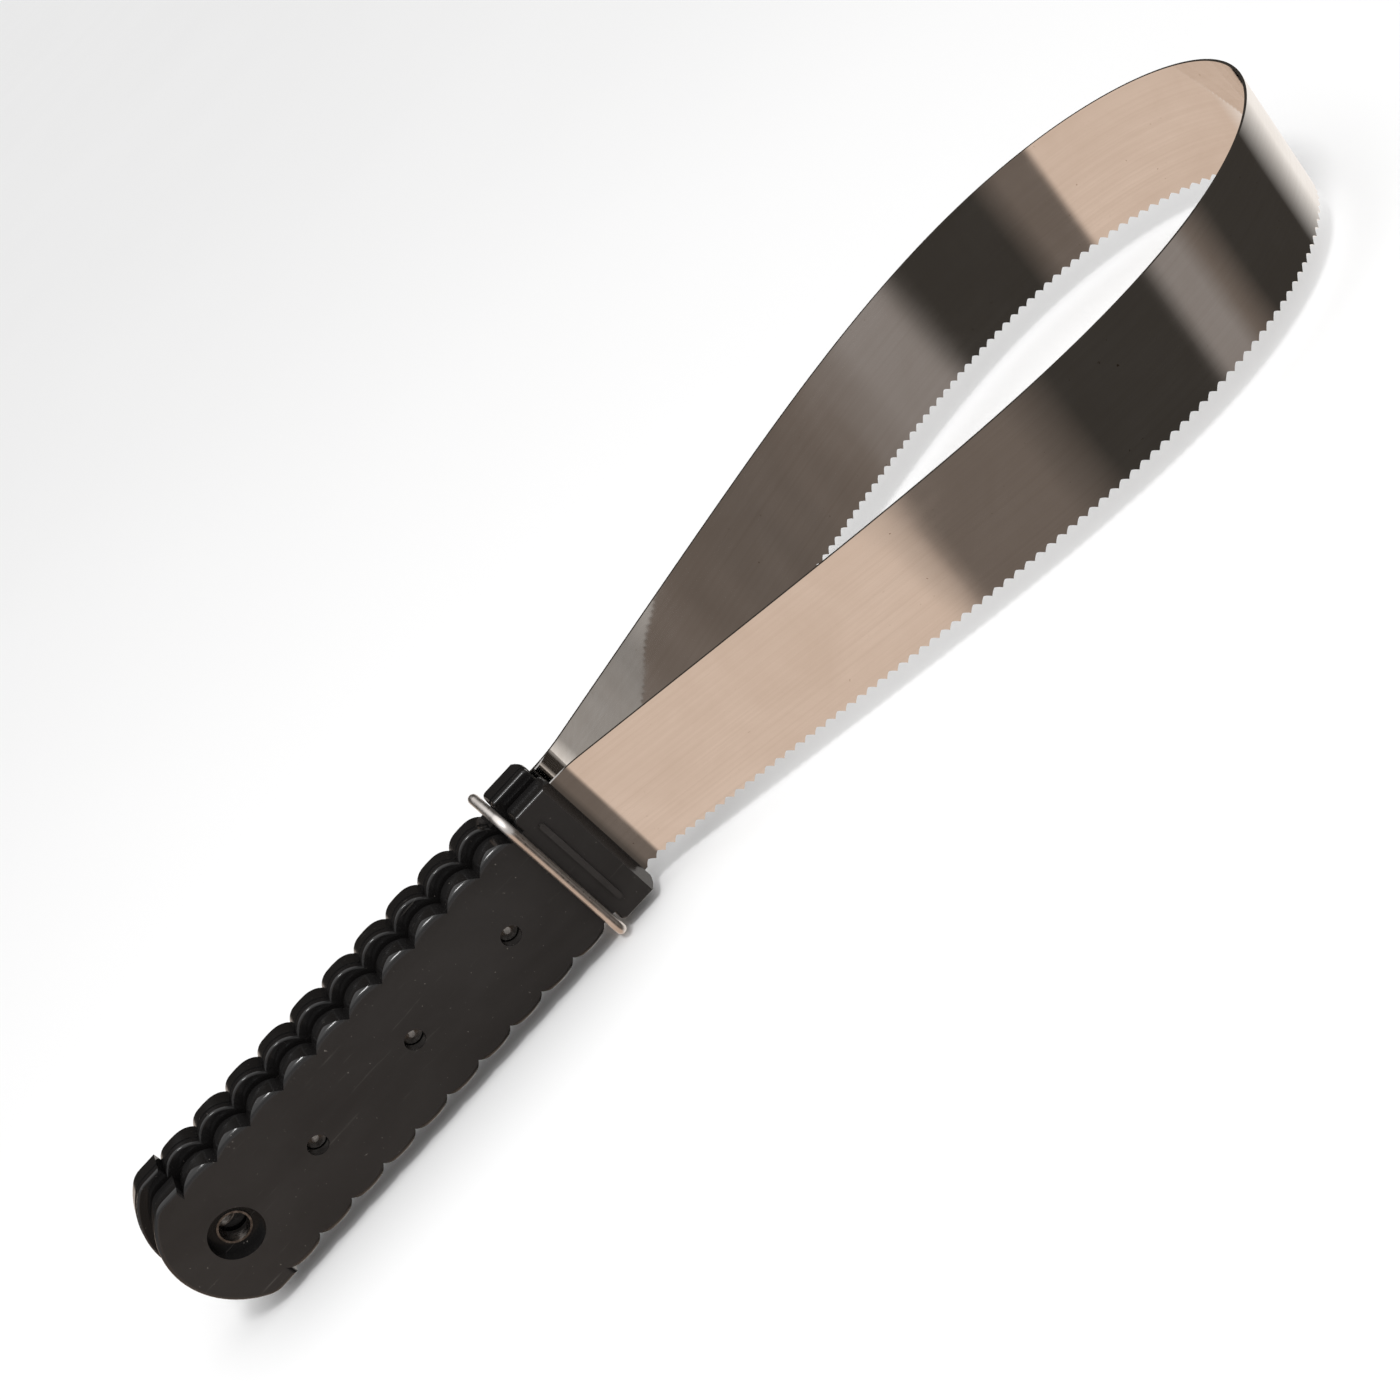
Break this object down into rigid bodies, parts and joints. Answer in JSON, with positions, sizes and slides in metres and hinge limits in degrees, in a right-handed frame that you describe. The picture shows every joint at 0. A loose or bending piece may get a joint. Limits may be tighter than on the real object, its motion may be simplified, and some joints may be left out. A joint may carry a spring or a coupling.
{
  "type": "shedding blade",
  "caption": "Sprung steel strip bent into a loop, toothed on one edge and smooth on the other, its ends held in two scalloped handles latched by a sliding wire ring.",
  "frame": {"origin": "middle of the front handle's hanging hole, on the strip's plane", "axes": "+X along the handles towards the loop's far end, +Y from the front handle to the rear handle, +Z from the toothed edge to the smooth edge"},
  "size_m": [0.3289, 0.0863, 0.042],
  "materials": {
    "handle_plastic": "satin, moulded",
    "blade_steel": "bright rolled, fine lengthwise scratches",
    "ring_wire": "satin drawn wire",
    "fastener_metal": "bright plated"
  },
  "bodies": {
    "front_handle": {"front_outer_shell": "handle_plastic", "front_inner_shell": "handle_plastic", "front_hang_eyelet": "fastener_metal", "front_rivet_1": "fastener_metal", "front_rivet_2": "fastener_metal", "front_rivet_3": "fastener_metal", "blade_front_tang": "blade_steel"},
    "rear_handle": {"rear_outer_shell": "handle_plastic", "rear_inner_shell": "handle_plastic", "rear_hang_eyelet": "fastener_metal", "rear_rivet_1": "fastener_metal", "rear_rivet_2": "fastener_metal", "rear_rivet_3": "fastener_metal", "blade_rear_tang": "blade_steel"},
    "latch_ring": {"latch_ring": "ring_wire"},
    "blade_01": {"blade_section_01": "blade_steel"},
    "blade_02": {"blade_section_02": "blade_steel"},
    "blade_03": {"blade_section_03": "blade_steel"},
    "blade_04": {"blade_section_04": "blade_steel"},
    "blade_05": {"blade_section_05": "blade_steel"},
    "blade_06": {"blade_section_06": "blade_steel"}
  },
  "joints": [
    {"name": "blade_open", "type": "hinge", "parent": "front_handle", "child": "blade_01", "pos_m": [0.11304, -0.00007, 0], "axis": [0, 0, 1], "range_deg": [0, 18.13]},
    {"name": "blade_bend_01", "type": "hinge", "parent": "blade_01", "child": "blade_02", "pos_m": [0.20478, -0.03234, 0], "axis": [0, 0, 1], "range_deg": [-16.07, 0]},
    {"name": "blade_bend_02", "type": "hinge", "parent": "blade_02", "child": "blade_03", "pos_m": [0.27288, -0.03862, 0], "axis": [0, 0, 1], "range_deg": [-53.11, 0]},
    {"name": "blade_bend_03", "type": "hinge", "parent": "blade_03", "child": "blade_04", "pos_m": [0.31338, 0.00255, 0], "axis": [0, 0, 1], "range_deg": [-78.01, 0]},
    {"name": "blade_bend_04", "type": "hinge", "parent": "blade_04", "child": "blade_05", "pos_m": [0.27288, 0.04372, 0], "axis": [0, 0, 1], "range_deg": [-53.11, 0]},
    {"name": "blade_bend_05", "type": "hinge", "parent": "blade_05", "child": "blade_06", "pos_m": [0.20478, 0.03744, 0], "axis": [0, 0, 1], "range_deg": [-16.07, 0]},
    {"name": "blade_bend_06", "type": "hinge", "parent": "blade_06", "child": "rear_handle", "pos_m": [0.11304, 0.00517, 0], "axis": [0, 0, 1], "range_deg": [0, 18.15]},
    {"name": "ring_slide", "type": "slide", "parent": "front_handle", "child": "latch_ring", "axis": [-1, 0, 0], "range_m": [0, 0.125]}
  ],
  "couplings": [
    {"joint": "blade_bend_01", "follows": "blade_open", "ratio": -0.88505},
    {"joint": "blade_bend_02", "follows": "blade_open", "ratio": -2.9283},
    {"joint": "blade_bend_03", "follows": "blade_open", "ratio": -4.3017},
    {"joint": "blade_bend_04", "follows": "blade_open", "ratio": -2.9283},
    {"joint": "blade_bend_05", "follows": "blade_open", "ratio": -0.88505},
    {"joint": "blade_bend_06", "follows": "blade_open", "ratio": 1}
  ]
}
